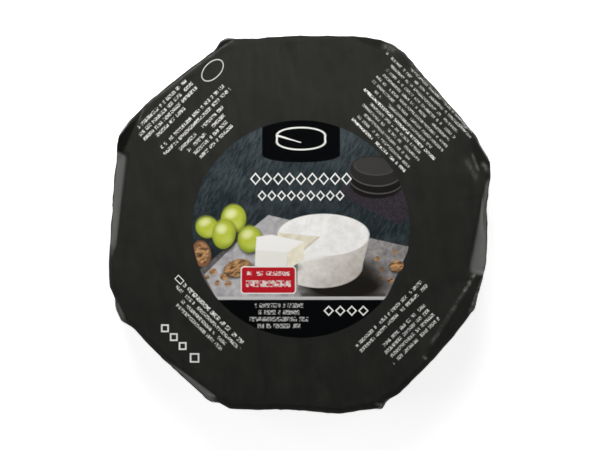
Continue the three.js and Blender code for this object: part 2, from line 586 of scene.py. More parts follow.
@dataclass(frozen=True)
class RoundPicture:
    """The round still life on the parcel's top: a cut wheel on a board, with grapes and nuts.

    Everything but the middle is measured from the picture's own middle.
    """

    middle: Point = (0.46, -1.5)
    radius: float = 33.0
    span: float = 34.0
    band_top: float = -21.5
    band_rim: float = 1.0
    plaque_half: float = 11.8
    plaque_low: float = 22.4
    streak_lean: float = 64.0
    grape_lean: float = -12.0
    glow_lean: float = 20.0
    pot_lean: float = -4.0
    grapes: tuple[tuple[float, float, float, float], ...] = (
        (-28.4, 0.4, 3.5, 3.2),
        (-20.4, 3.0, 3.8, 4.3),
        (-15.5, -3.2, 3.7, 4.0),
        (-23.3, -1.6, 3.5, 4.5),
    )
    crumbs: tuple[tuple[float, float, float], ...] = (
        (-26.7, -12.9, 0.9),
        (-23.4, -14.6, 1.0),
        (-22.1, -16.6, 0.8),
        (-25.4, -16.4, 0.7),
        (-28.4, -14.6, 0.6),
        (23.1, -9.0, 0.7),
        (24.4, -12.2, 0.6),
        (24.2, -14.9, 0.5),
        (27.2, -15.7, 0.8),
        (22.2, -18.0, 0.6),
        (28.6, -6.9, 0.6),
        (19.4, -16.5, 0.5),
    )

    def paint(self, bench: NodeBench, sheet: bpy.types.NodeSocket, ground: object) -> object:
        """Paint the picture over the paper's own colour.

        Args:
            bench: Where the nodes go.
            sheet: The place on the sheet, with 1 as its third number.
            ground: The paper's own colour.

        Returns:
            The colour with the picture on it.
        """
        place = bench.vector("SUBTRACT", sheet, (*self.middle, 0))
        painter = Painter(bench, place, self.slate(bench, place))
        self.back(painter)
        self.board(painter)
        self.fruit(painter)
        self.wheel(painter)
        self.wedge(painter)
        self.marks(painter)
        return bench.blend(painter.oval(0, 0, self.radius, self.radius), ground, painter.colour)

    def slate(self, bench: NodeBench, place: bpy.types.NodeSocket) -> bpy.types.NodeSocket:
        """Return the slate wall's colour: slanting streaks of two greys."""
        along = bench.moved(place, (0, 0, 0), self.streak_lean, (3.4, 0.9, 1))
        streaks = bench.grain(along, 1.0, detail=6, rough=0.75).times_plus(2.6, -1.2)
        patches = bench.grain(place, 9.0, detail=2).times_plus(0.8, -0.4)
        height = bench.along(place, 0, 1 / 120, -0.02)
        share = (streaks + patches + height).times_plus(1, 0, clamp=True)
        return bench.blend(share, Tone.SLATE_DEEP.value, Tone.SLATE_PALE.value)

    def back(self, painter: Painter) -> None:
        """Paint the dark pot and the folded cloth at the back."""
        weave = painter.bench.grain(painter.place, 0.7, detail=2).times_plus(1.6, -0.45, clamp=True)
        cloth = painter.bench.blend(weave, Tone.CLOTH_DEEP.value, Tone.CLOTH_PALE.value)
        heap = ((11.5, 12.6), (14.5, 8.6), (29.6, 1.4), (33.5, 3.4), (31, 12), (22, 15))
        painter.lay(painter.shape(heap), cloth)
        painter.lay(painter.oval(22.9, 13.6, 8.0, 4.4, soft=0.3), Tone.POT_FOOT.value)
        for x, y, half_x, half_y, soft, tone in (
            (22.8, 15.0, 8.3, 4.5, 0.2, Tone.POT_RIM),
            (22.8, 15.3, 8.2, 4.4, 0.3, Tone.POT_GAP),
            (22.6, 17.4, 8.0, 4.6, 0.2, Tone.POT_RIM),
            (22.6, 17.7, 7.9, 4.5, 0.3, Tone.POT),
            (22.2, 18.9, 6.2, 2.7, 0.2, Tone.POT_RIM),
            (22.2, 19.1, 6.1, 2.7, 0.5, Tone.POT_INSIDE),
        ):
            painter.lay(painter.oval(x, y, half_x, half_y, turn=self.pot_lean, soft=soft), tone.value)

    def board(self, painter: Painter) -> None:
        """Paint the pale stone board that everything stands on."""
        bench = painter.bench
        mottle = bench.grain(painter.place, 2.4, detail=5, rough=0.65).times_plus(2.2, -0.6, clamp=True)
        lit = bench.along(painter.place, -1 / 20, 0, -0.4).times_plus(1, 0, clamp=True)
        dull = bench.blend(mottle, Tone.BOARD_DEEP.value, Tone.BOARD_PALE.value)
        bright = bench.blend(mottle, Tone.BOARD_LIT_DEEP.value, Tone.BOARD_LIT_PALE.value)
        stone = bench.blend(lit, dull, bright)
        table = bench.blend(mottle, Tone.TABLE_DEEP.value, Tone.TABLE_PALE.value)
        left = ((-34, -7.5), (-34, -24), (6, -24), (6, 3.2), (-9.9, 4.4), (-16.2, -0.7), (-28, -6.0))
        painter.lay(painter.shape(left, soft=0.5), table)
        slab = (
            (-25.8, -21), (25.8, -21), (32.6, -6.2), (32.6, -5.4),
            (-9.9, 4.2), (-16.2, -0.9), (-29.3, -13.8),
        )
        painter.lay(painter.shape(slab, soft=0.25), stone)
        front = ((0, -21), (25.8, -21), (25.6, -19.4), (0, -19.4))
        painter.lay(painter.shape(front, soft=0.8), Tone.BOARD_FRONT.value)

    def fruit(self, painter: Painter) -> None:
        """Paint the grapes, the nuts and the crumbs."""
        for grape in self.grapes:
            self.grape(painter, *grape)
        folds = painter.bench.moved(painter.place, (0, 0, 0), 25, (1.9, 0.9, 1))
        ripple = painter.bench.grain(folds, 1.0, detail=3, rough=0.6).times_plus(4.0, -1.45, clamp=True)
        shell = painter.bench.blend(ripple, Tone.NUT_DEEP.value, Tone.NUT_PALE.value)
        painter.lay(painter.oval(-30.2, -7.5, 2.9, 4.0, turn=8, soft=0.3), Tone.NUT.value)
        painter.lay(painter.oval(-30.0, -7.3, 2.1, 3.1, turn=8, soft=0.5), shell)
        painter.lay(painter.oval(-19.3, -12.4, 4.4, 2.6, turn=14, soft=0.9), Tone.SHADOW.value)
        painter.lay(painter.oval(-19.1, -11.8, 4.2, 2.6, turn=14, soft=0.3), shell)
        painter.lay(painter.oval(29.0, -11.6, 2.4, 1.8, soft=0.8), Tone.SHADOW.value)
        painter.lay(painter.oval(29.0, -11.2, 2.2, 1.7, soft=0.2), shell)
        for x, y, radius in self.crumbs:
            painter.lay(painter.oval(x, y, radius * 1.3, radius, turn=40 * x, soft=0.35), shell)

    def grape(self, painter: Painter, x: float, y: float, half_x: float, half_y: float) -> None:
        """Paint one grape: its shadow, its skin in two tones, a glow and a low glint.

        Args:
            painter: What paints it.
            x: Its middle.
            y: Its middle.
            half_x: Half its width.
            half_y: Half its height.
        """
        lean = self.grape_lean
        shadow = painter.oval(x + 0.3, y - 0.5, half_x + 0.2, half_y + 0.2, soft=1.2)
        painter.lay(shadow, Tone.SHADOW.value)
        painter.lay(painter.oval(x, y, half_x, half_y, turn=lean), Tone.GRAPE_DEEP.value)
        skin = painter.oval(x - 0.2, y + 0.5, half_x * 0.84, half_y * 0.84, turn=lean, soft=1.7)
        painter.lay(skin, Tone.GRAPE.value)
        glow = painter.oval(x - 0.8, y + 1.6, half_x * 0.42, half_y * 0.3, turn=self.glow_lean, soft=1.3)
        painter.lay(glow, Tone.GRAPE_GLOW.value)
        glint = painter.oval(x + 0.9, y - 1.6, half_x * 0.4, half_y * 0.26, turn=self.glow_lean, soft=1.3)
        painter.lay(glint, Tone.GRAPE_GLINT.value)

    def wheel(self, painter: Painter) -> None:
        """Paint the white wheel with the notch that its wedge was cut from."""
        bench = painter.bench
        bloom = bench.grain(painter.place, 2.2, detail=5, rough=0.6)
        sidelight = bench.along(painter.place, 1 / 30, -1 / 40, 0.25)
        side_share = (bloom.times_plus(0.9, 0.47) - sidelight).times_plus(1, 0, clamp=True)
        side = bench.blend(side_share, Tone.RIND_DEEP.value, Tone.RIND.value)
        top_share = bloom.times_plus(1.5, 0.05, clamp=True)
        top = bench.blend(top_share, Tone.RIND_SIDE.value, Tone.RIND_TOP.value)
        cream_share = bench.grain(painter.place, 1.6).times_plus(2, -0.5, clamp=True)
        cream = bench.blend(cream_share, Tone.CREAM_DEEP.value, Tone.CREAM.value)
        notch = painter.shape(((-9, -0.9), (-9, -8.0), (-0.7, -8.0), (5.8, -2.4)), soft=0.2)
        kept = notch.larger(painter.block(-9, -19, -1.0, -7.9)).times_plus(-1, 1)
        painter.lay(painter.oval(12.0, -13.6, 12.4, 5.6, soft=3.0) * kept, Tone.SHADOW.value)
        painter.lay(painter.oval(13.0, -17.4, 13.5, 4.2, soft=2.0) * kept, Tone.SHADOW_DEEP.value)
        cut = ((-7.2, -1.0), (-7.2, -7.5), (1.6, -10.0), (5.8, -6.5), (5.8, -2.4))
        painter.lay(painter.shape(cut), cream)
        shaded_cut = ((-0.6, -8.0), (0.6, -12.0), (5.8, -9.0), (5.8, -2.4))
        painter.lay(painter.shape(shaded_cut, soft=1.6), Tone.CREAM_SHADED.value)
        painter.lay(painter.oval(5.9, -11.2, 12.8, 6.7, soft=0.25) * kept, side)
        painter.lay(painter.shape(((-7.0, -11.2), (18.6, -11.2), (20.6, -3.2), (-7.0, -1.8))) * kept, side)
        painter.lay(painter.oval(6.8, -1.8, 13.9, 6.4, soft=0.25) * kept, top)
        painter.lay(painter.oval(3.0, -8.4, 5.5, 1.0, turn=10, soft=1.2) * kept, Tone.RIND_LIT.value)

    def wedge(self, painter: Painter) -> None:
        """Paint the cut wedge in front of the wheel."""
        bench = painter.bench
        cream_share = bench.grain(painter.place, 1.9).times_plus(2, -0.5, clamp=True)
        cream = bench.blend(cream_share, Tone.PASTE_DEEP.value, Tone.PASTE.value)
        painter.lay(painter.oval(-8.0, -11.6, 7.0, 1.8, soft=1.2), Tone.SHADOW.value)
        face = painter.shape(((-13.8, -6.2), (-14.0, -11.2), (-4.4, -12.6), (-4.0, -7.0)), soft=0.3)
        painter.lay(face, Tone.CUT_FACE.value)
        painter.lay(painter.shape(((-4.4, -12.6), (0.9, -9.2), (0.9, -3.7), (-4.0, -7.0)), soft=0.2), cream)
        crown = ((-13.8, -6.4), (-4.1, -7.1), (0.9, -3.8), (-9.0, -1.7), (-13.5, -2.4))
        painter.lay(painter.shape(crown, soft=0.3), Tone.RIND_LIT.value)

    def marks(self, painter: Painter) -> None:
        """Paint the band, the plain badge, the plaque and the plain ornaments."""
        white = Tone.INK_WHITE.value
        rim_top = self.band_top + self.band_rim
        painter.lay(painter.block(-self.span, self.band_top, self.span, rim_top), Tone.BAND_RIM.value)
        painter.lay(painter.block(-self.span, -self.span, self.span, self.band_top), Tone.BAND.value)
        painter.lay(painter.soft_block(-18.3, -19.7, -1.5, -11.3, 0.7), white)
        painter.lay(painter.soft_block(-17.95, -19.35, -1.85, -11.65, 0.5), Tone.BADGE.value)
        plaque = painter.block(-self.plaque_half, self.plaque_low, self.plaque_half, self.span)
        painter.lay(plaque, Tone.BAND.value)
        painter.lay(painter.oval(0, self.plaque_low, self.plaque_half, 2.2), Tone.BAND.value)
        self.plaque_icon(painter)
        self.ornament(painter)
        for x in (8.4, 11.9, 15.4, 18.9):
            painter.lay(painter.diamond(x, -24.8, 1.75), white)
        for rows in self.small_rows():
            painter.lay(rows.mask(painter.bench, painter.place), white)

    def plaque_icon(self, painter: Painter) -> None:
        """Paint a plain outline of a cut wheel on the plaque."""
        white = Tone.INK_WHITE.value
        black = Tone.BAND.value
        low, high = 26.4, 28.4
        outer, inner = 7.6, 7.0
        painter.lay(painter.oval(0, low, outer, 2.6), white)
        painter.lay(painter.block(-outer, low, outer, high), white)
        painter.lay(painter.oval(0, high, outer, 2.6), white)
        painter.lay(painter.oval(0, high, inner, 2.1), black)
        painter.lay(painter.oval(0, low, inner, 2.1), black)
        painter.lay(painter.block(-inner, low, inner, high), black)
        painter.lay(painter.shape(((-7.6, 28.1), (-0.1, 26.1), (0.1, 26.3), (-7.0, 28.6))), white)

    def ornament(self, painter: Painter) -> None:
        """Paint two rows of plain diamonds where the heading would stand."""
        white = Tone.INK_WHITE.value
        for height, reach, pitch, size in ((15.2, 13.8, 3.45, 1.65), (10.1, 11.8, 2.95, 1.4)):
            along = painter.bench.along(painter.place, 1, 0, 0)
            cell = along.times_plus(1 / pitch, 0.5)
            off = (cell - cell.whole()).times_plus(pitch, -pitch / 2).size()
            up = painter.bench.along(painter.place, 0, 1, height).size()
            ring = (off + up * 0.85).times_plus(-1, size)
            inside = ring.times_plus(7, 0.5, clamp=True)
            hollow = ring.times_plus(-7, 4.2, clamp=True)
            run = along.size().times_plus(-5, 5 * (reach + pitch / 2), clamp=True)
            painter.lay(inside * hollow * run, white)

    def small_rows(self) -> tuple[DashRows, ...]:
        """Return the rows of dashes on the badge and on the band."""
        return (
            DashRows(270, 13.5, 1, 2.0, 6.6, 1.0, middle=9.9, height=1.3, seed=3, strength=0.85),
            DashRows(
                270, 16.6, 1, 3.0, 6.9, 1.0, middle=9.9, height=2.0, cell=0.6, gap=0.1, seed=8, strength=0.85,
            ),
            DashRows(270, 23.2, 4, 2.07, 11.2, 0.55, middle=6.7, height=1.35, gap=0.13, seed=5, strength=0.6),
        )


PANEL_ROWS = (
    DashRows(45, 33.9, 1, 1.79, 12.0, 0.95, height=0.9, gap=0.12, seed=20, strength=1.0),
    DashRows(45, 35.7, 4, 1.79, 12.6, 0.72, widening=0.72, height=0.8, gap=0.2, seed=21, strength=0.6),
    DashRows(45, 42.85, 1, 1.79, 15.4, 0.95, height=0.9, gap=0.12, seed=27, strength=1.0),
    DashRows(45, 44.65, 7, 1.79, 16.0, 0.72, widening=0.72, height=0.8, gap=0.2, seed=31, strength=0.6),
    DashRows(45, 57.18, 1, 1.79, 14.0, 0.9, middle=4.0, height=0.8, gap=0.2, seed=32, strength=0.6),
    DashRows(135, 35.6, 4, 2.0, 9.5, 0.75, middle=-0.5, seed=22),
    DashRows(135, 44.0, 2, 2.0, 14.5, 0.92, middle=0.0, seed=23),
    DashRows(135, 49.5, 4, 1.9, 12.5, 0.62, middle=-4.0, seed=24),
    DashRows(225, 37.7, 1, 2.0, 13.0, 1.0, middle=-1.0, height=1.3, seed=25, strength=1.0),
    DashRows(225, 39.7, 3, 1.95, 15.0, 0.62, middle=-0.5, seed=26),
    DashRows(315, 38.4, 2, 2.0, 14.6, 0.92, seed=28),
    DashRows(315, 44.1, 4, 1.97, 11.0, 0.85, seed=29),
)


@dataclass(frozen=True)
class FoldHighlight:
    """A fold ridge in the top paper with a painted highlight along it, broken up by noise."""

    END_SHARPNESS = 0.8
    BREAK_CONTRAST = 5
    BREAK_LEVEL = 1.9

    start: Point
    end: Point
    width: float
    strength: float

    def mask(self, bench: NodeBench, sheet: bpy.types.NodeSocket, grain: Field) -> Field:
        """Build the mask of the fold's painted highlight.

        Args:
            bench: Where the nodes go.
            sheet: The place on the sheet, with 1 as its third number.
            grain: Noise that breaks the line up.

        Returns:
            The mask, up to the fold's strength on the line.
        """
        start = Vector(self.start)
        side = Vector(self.end) - start
        along = side.normalized()
        middle = start + side / 2
        off = bench.along(sheet, along.y, -along.x, along.y * start.x - along.x * start.y).size()
        run = bench.along(sheet, along.x, along.y, along.dot(middle)).size()
        line = off.times_plus(-1 / self.width, 1, clamp=True)
        half_run = self.END_SHARPNESS * side.length / 2
        inside = run.times_plus(-self.END_SHARPNESS, half_run + 0.5, clamp=True)
        drawn = line * inside
        contrast = self.BREAK_CONTRAST * self.strength
        return drawn * grain.times_plus(contrast, -self.BREAK_LEVEL * self.strength, clamp=True)


# painted highlights along fold ridges and rim edges: start, end, width and strength
FOLD_HIGHLIGHTS = (
    FoldHighlight((-47.3, 35.2), (-48.8, 30.6), 0.4, 0.25),
    FoldHighlight((-46.6, 36.4), (-25.6, 52.9), 0.45, 0.22),
    FoldHighlight((-25.4, 52.4), (-20.2, 55.8), 0.4, 0.20),
    FoldHighlight((25.2, 54.2), (29.0, 52.6), 1.1, 0.3),
    FoldHighlight((34.3, 48.7), (50.3, 30.6), 0.7, 0.35),
    FoldHighlight((48.3, 30.1), (51.2, 29.4), 0.7, 0.7),
    FoldHighlight((52.2, 21.5), (54.2, 16.4), 0.6, 0.35),
    FoldHighlight((50.4, 20.0), (53.9, 13.4), 1.2, 0.15),
    FoldHighlight((55.5, 18.5), (57.5, 15.9), 1.0, 0.4),
    FoldHighlight((23.4, -54.6), (25.6, -55.3), 0.7, 0.7),
    FoldHighlight((49.9, -20.6), (53.0, -15.2), 0.8, 0.55),
    FoldHighlight((40.0, -36.2), (49.9, -20.6), 0.9, 0.20),
    FoldHighlight((37.6, -40.3), (38.6, -41.0), 0.7, 0.6),
    FoldHighlight((51.6, -27.2), (56.0, -15.3), 0.5, 0.5),
    FoldHighlight((-28.6, -52.4), (-26.0, -52.5), 0.8, 0.5),
)


# ---- finishes ------------------------------------------------------------------------------------


@dataclass(frozen=True)
class BlackPaper:
    """Printed wrapping paper: satin black with white small print and a round picture."""

    roughness: float = 0.42
    ink_deep: Colour = shade(33, 33, 31)
    ink_pale: Colour = shade(42, 42, 39)
    # pale colour for the rubbed wear and for the painted highlights along the folds
    wear_and_highlight_colour: Colour = shade(172, 170, 164)
    # what the painted shade on the pressed facets darkens the paper towards
    black: Colour = (0.0, 0.0, 0.0)
    gloss_tint: Colour = (1.0, 1.0, 0.9)
    mottle_size: float = 7.0
    fibre_size: float = 0.5
    scuff_size: float = 1.7
    cockle_size: float = 6.0
    fibre_height: float = 0.012
    cockle_height: float = 0.10
    scuff_height: float = 0.02
    rubbing: float = 0.8
    # how far painted shade darkens the pressed facets towards black
    painted_shade: float = 0.8
    ring_facing: float = 135.0
    box_facing: float = 225.0
    name: str = "black_printed_paper"

    def make(self) -> bpy.types.Material:
        """Return the material. It reads the sheet's own flat place, and its wear less its painted shade as
        the third number.
        """
        bench = NodeBench(self.name)
        attribute = bench.nodes.new("ShaderNodeAttribute")
        attribute.attribute_name = Wrapper.FLAT
        # the third number is wear where it is above 0 and painted shade where it is below 0
        x, y, wear = bench.parts(attribute.outputs["Vector"])
        sheet = bench.place(x, y, 1.0)
        mottle = bench.grain(sheet, self.mottle_size, detail=4, rough=0.6)
        drawn = bench.grain(bench.moved(sheet, (0, 0, 0), 8, (3.0, 11.0, 1)), 1.0, detail=5, rough=0.6)
        tone = (mottle * 0.6 + drawn).times_plus(2.2, -1.26, clamp=True)
        ground = bench.blend(tone, self.ink_deep, self.ink_pale)
        for rows in PANEL_ROWS:
            ground = bench.blend(rows.mask(bench, sheet), ground, Tone.INK_WHITE.value)
        ground = self.plain_marks(bench, sheet, ground)
        colour = RoundPicture().paint(bench, sheet, ground)
        fibres = bench.grain(sheet, self.fibre_size, detail=4, rough=0.65)
        scuffs = bench.grain(sheet, self.scuff_size, detail=5, rough=0.75)
        wear_highlight_mask = (wear * scuffs.times_plus(5, -2.35, clamp=True)).times_plus(self.rubbing, 0, clamp=True)
        # painted highlights along the fold ridges join the rubbed wear
        for fold in FOLD_HIGHLIGHTS:
            wear_highlight_mask = wear_highlight_mask.larger(fold.mask(bench, sheet, scuffs))
        # painted shade: the pressed facets are darkened towards black
        pressed = wear.times_plus(-self.painted_shade, 0, clamp=True)
        colour = bench.blend(pressed, colour, self.black)
        bench.set(Base_Color=bench.blend(wear_highlight_mask, colour, self.wear_and_highlight_colour))
        cockle = bench.grain(sheet, self.cockle_size, detail=2, rough=0.5)
        height = fibres * self.fibre_height + cockle * self.cockle_height + scuffs * self.scuff_height
        bench.set(Normal=bench.relief(height), Roughness=fibres.times_plus(0.2, self.roughness - 0.1))
        bench.set(IOR=1.5, Specular_Tint=self.gloss_tint)
        return bench.material

    def plain_marks(self, bench: NodeBench, sheet: bpy.types.NodeSocket, ground: object) -> object:
        """Paint the plain oval ring and the small box among the small print.

        Args:
            bench: Where the nodes go.
            sheet: The place on the sheet, with 1 as its third number.
            ground: The colour so far.

        Returns:
            The colour with the marks on it.
        """
        painter = Painter(bench, sheet, ground)
        out = direction(self.ring_facing)
        aside = Vector((out.y, -out.x))
        middle = out * 51.6 + aside * 14.3
        lean = self.ring_facing - 90
        outer = painter.oval(middle.x, middle.y, 4.1, 2.5, turn=lean)
        inner = painter.oval(middle.x, middle.y, 3.82, 2.22, turn=lean).times_plus(-1, 1)
        painter.lay(outer * inner * 0.8, Tone.INK_WHITE.value)
        out = direction(self.box_facing)
        aside = Vector((out.y, -out.x))
        middle = out * 37.7 + aside * 13.8
        box = []
        for half_high, half_wide in ((0.85, 1.3), (0.6, 1.05)):
            turns = ((1, -1), (-1, -1), (-1, 1), (1, 1))
            corners = [middle + out * half_high * i + aside * half_wide * j for i, j in turns]
            box.append(painter.shape(tuple((p.x, p.y) for p in corners)))
        painter.lay(box[0] * box[1].times_plus(-1, 1), Tone.INK_WHITE.value)
        for step, reach in ((6.5, 1.85), (2.7, 1.85), (-1.1, 1.85), (-6.2, 2.2)):
            middle = out * 51.2 + aside * step
            painter.lay(painter.diamond(middle.x, middle.y, reach, turn=45, line=0.5), Tone.INK_WHITE.value)
        return painter.colour


@dataclass(frozen=True)
class LabelPaper:
    """Matte off-white label paper with a thin ring and rows of dashes."""

    deep: Colour = shade(224, 222, 214)
    pale: Colour = shade(240, 238, 231)
    ring_ink: Colour = shade(40, 40, 40)
    text_ink: Colour = shade(52, 52, 52)
    ring_radius: float = 28.5
    ring_width: float = 0.5
    name: str = "round_label_paper"

    def make(self) -> bpy.types.Material:
        """Return the material."""
        bench = NodeBench(self.name)
        x, y, _ = bench.parts(bench.own_millimetres())
        place = bench.place(x, y, 1.0)
        fibres = bench.grain(place, 0.6, detail=4, rough=0.6)
        ground = bench.blend(fibres, self.deep, self.pale)
        painter = Painter(bench, place, ground)
        inner = self.ring_radius - self.ring_width
        disc = painter.oval(0, 0, self.ring_radius, self.ring_radius)
        painter.lay(disc * painter.oval(0, 0, inner, inner).times_plus(-1, 1), self.ring_ink)
        rows = DashRows(90, -12.0, 12, 2.2, 18.0, 0.6, height=1.2, seed=41)
        painter.lay(rows.mask(bench, place), self.text_ink)
        bench.set(Base_Color=painter.colour, Normal=bench.relief(fibres * 0.03))
        bench.set(Roughness=0.62)
        return bench.material


@dataclass(frozen=True)
class ClearFilm:
    """Thin clear plastic film, crinkled."""

    deep: Colour = shade(226, 229, 230)
    pale: Colour = shade(244, 245, 245)
    name: str = "clear_crinkled_film"

    def make(self) -> bpy.types.Material:
        """Return the material."""
        bench = NodeBench(self.name)
        place = bench.own_millimetres()
        crinkle = bench.grain(place, 3.0, detail=6, rough=0.7)
        haze = bench.grain(place, 12.0, detail=3)
        bench.set(Base_Color=bench.blend(haze, self.deep, self.pale))
        bench.set(Roughness=haze.times_plus(0.12, 0.14), Normal=bench.relief(crinkle * 0.35))
        bench.set(Alpha=0.35, IOR=1.5)
        return bench.material


@dataclass(frozen=True)
class BloomyRind:
    """White mould rind: velvety, with the marks of the drying rack and darker worn lines."""

    rack_pitch: float = 7.5
    deep: Colour = shade(226, 217, 196)
    pale: Colour = shade(246, 243, 235)
    worn: Colour = shade(206, 186, 148)
    name: str = "bloomy_rind"

    def make(self) -> bpy.types.Material:
        """Return the material."""
        bench = NodeBench(self.name)
        place = bench.own_millimetres()
        x, y, _ = bench.parts(place)
        bloom = bench.grain(place, 2.0, detail=6, rough=0.7)
        patches = bench.grain(place, 14.0, detail=3)
        lane = (x + patches * 2.0).times_plus(1 / self.rack_pitch, 0)
        rack = (lane - lane.whole()).times_plus(1, -0.5).size().times_plus(-9, 1.1, clamp=True)
        ground = bench.blend(bloom.times_plus(2.2, -0.6, clamp=True), self.deep, self.pale)
        lines = rack * patches.times_plus(2.4, -0.6, clamp=True)
        bench.set(Base_Color=bench.blend(lines.times_plus(0.5, 0), ground, self.worn))
        bench.set(Normal=bench.relief(bloom * 0.5 + rack * -0.15), Roughness=0.85)
        bench.set(Sheen_Weight=0.35, Sheen_Roughness=0.6, Subsurface_Weight=0.15, Subsurface_Scale=2 * MM)
        return bench.material


@dataclass(frozen=True)
class PaleTable:
    """The plain white table that the parcel lies on, lit from beneath as for a cut-out picture."""

    glow: float = 0.8
    glow_colour: Colour = (1.0, 1.0, 1.0)
    deep: Colour = shade(240, 240, 240)
    pale: Colour = shade(244, 244, 244)
    name: str = "pale_table"

    def make(self) -> bpy.types.Material:
        """Return the material."""
        bench = NodeBench(self.name)
        grain = bench.grain(bench.own_millimetres(), 40.0)
        bench.set(Base_Color=bench.blend(grain, self.deep, self.pale))
        bench.set(Roughness=0.9, Emission_Color=self.glow_colour, Emission_Strength=self.glow)
        return bench.material


# ---- camera, light and table ---------------------------------------------------------------------


@dataclass
class Studio:
    """Camera straight above the parcel, soft lights round it and a pale table."""

    eye_x: float = 0.15 * MM
    eye_y: float = -0.3 * MM
    focus_height: float = 22 * MM
    distance: float = 2.0
    view_width: float = 182.6 * MM
    sensor: float = 36.0
    table_size: float = 2.2
    table_drop: float = 0.2 * MM
    world_glow: float = 0.035

    def camera(self) -> None:
        """Place the camera."""
        data = bpy.data.cameras.new("camera")
        data.sensor_width = self.sensor
        data.lens = self.sensor * self.distance / self.view_width
        eye = bpy.data.objects.new("camera", data)
        eye.location = (self.eye_x, self.eye_y, self.focus_height + self.distance)
        bpy.context.scene.collection.objects.link(eye)
        bpy.context.scene.camera = eye

    def softbox(
        self,
        name: str,
        azimuth: float,
        elevation: float,
        away: float,
        size: Point,
        power: float,
    ) -> None:
        """Hang a rectangular light that looks at the parcel, polarised so that it leaves no glare.

        Args:
            name: The light's name.
            azimuth: Its direction round the parcel, in degrees from +X.
            elevation: Its height above the table, in degrees.
            away: Its distance, in metres.
            size: Its width and height, in metres.
            power: Its power, in watts.
        """
        data = bpy.data.lights.new(name, "AREA")
        data.shape = "RECTANGLE"
        data.size, data.size_y = size
        data.energy = power
        lamp = bpy.data.objects.new(name, data)
        flat = direction(azimuth) * math.cos(math.radians(elevation))
        outward = Vector((flat.x, flat.y, math.sin(math.radians(elevation))))
        lamp.location = outward * away
        lamp.rotation_euler = outward.to_track_quat("Z", "Y").to_euler()
        lamp.visible_camera = False
        lamp.visible_glossy = False
        bpy.context.scene.collection.objects.link(lamp)

    def lights(self) -> None:
        """Light the scene softly, brighter from the back and the sides."""
        wide, low = (1.0, 0.7), (1.0, 0.6)
        self.softbox("back_softbox", azimuth=97, elevation=54, away=0.24, size=(0.2, 0.12), power=0.5)
        self.softbox("left_softbox", azimuth=180, elevation=50, away=1.5, size=wide, power=3.4)
        self.softbox("right_softbox", azimuth=0, elevation=50, away=1.5, size=wide, power=1.6)
        self.softbox("front_softbox", azimuth=270, elevation=60, away=1.5, size=low, power=0.3)
        world = bpy.data.worlds.new("studio")
        world.use_nodes = True
        background = world.node_tree.nodes["Background"]
        background.inputs["Color"].default_value = (1, 1, 1, 1)
        background.inputs["Strength"].default_value = self.world_glow
        bpy.context.scene.world = world
        bpy.context.scene.view_settings.view_transform = "Standard"

    def table(self) -> None:
        """Lay the table under the parcel."""
        shape = bmesh.new()
        half = self.table_size / MM / 2
        bmesh.ops.create_grid(shape, x_segments=2, y_segments=2, size=half)
        bmesh.ops.translate(shape, verts=shape.verts, vec=(0, 0, -self.table_drop / MM))
        finished("table", shape, PaleTable().make())


# ---- the folded paper ----------------------------------------------------------------------------


@dataclass(frozen=True)
class Panel:
    """One flat of the parcel, and how the top slopes down to it.

    The slope is width wide, falls by drop, and gets steeper towards the flat as power grows.
    """

    facing: float
    distance: float
    width: float
    drop: float
    power: float


@dataclass(frozen=True)
class Pleat:
    """Where two panels meet: the wing that laps over, how far it reaches and how it stands out."""

    reach: float
    flare: float
    flare_depth: float
    lead: float = 2.0
    flare_spread: float = 7.0


@dataclass(frozen=True)
class Crease:
    """A straight crease in the top paper, raised where height is positive."""

    start: Point
    end: Point
    height: float
    width: float

    def lift(self, place: Vector) -> float:
        """Return how far the crease raises the paper at a place."""
        start = Vector(self.start)
        side = Vector(self.end) - start
        share = (place - start).dot(side) / side.length_squared
        if not -0.3 < share < 1.3:
            return 0.0
        off = (place - start - side * min(1.0, max(0.0, share))).length
        if off > 5 * self.width:
            return 0.0
        fade = smooth(4 * min(share, 1 - share) + 0.4)
        return self.height * fade * math.exp(-off / self.width)


@dataclass(frozen=True)
class Facet:
    """A flat face pressed into the parcel's edge: it falls away outside a line on the plan."""

    start: Point
    end: Point
    slope: float
    # how strongly painted shade darkens the paper on this facet, from 0 to 1
    pressed: float = 0.0
    ends: float = 2.5
    soft: float = 0.1

    def depth(self, place: Vector) -> float:
        """Find how far a place lies outside the line, for the fall of the paper there.

        Args:
            place: The place on the plan.

        Returns:
            The distance, 0 inside the line, eased in over the fold and out past the line's two ends.
        """
        start = Vector(self.start)
        side = Vector(self.end) - start
        along = side.normalized()
        out = Vector((along.y, -along.x))
        if out.dot(start) < 0:
            out = -out
        reach = place - start
        past = abs(along.dot(reach) - side.length / 2) - side.length / 2
        outside = max(0.0, out.dot(reach))
        return outside * outside / (outside + 2 * self.soft) * (1 - smooth(past / self.ends))


class Stretch(IntEnum):
    """The stretches of the parcel's section, from the middle of the top to the sheet's cut edge."""

    TOP = 0
    SLOPE = 1
    ROUND = 2
    WALL = 3
    EDGE = 4
    BASE = 5


class Layer(Enum):
    """Which layer of a pleat a strip of the sheet lies in."""

    OUTER = "outer"
    TUCK = "tuck"
    INNER = "inner"


@dataclass(frozen=True)
class Strip:
    """One radial strip of the sheet.

    In the outer and inner layers share runs from corner to corner of its panel. In a tuck it runs from
    the corner line, at 0, out to the wing's free edge, at 1. Stack counts the layers beneath it.
    """

    layer: Layer
    panel: int
    share: float
    stack: float
    corner: int = 0
    aside: float = 0.0


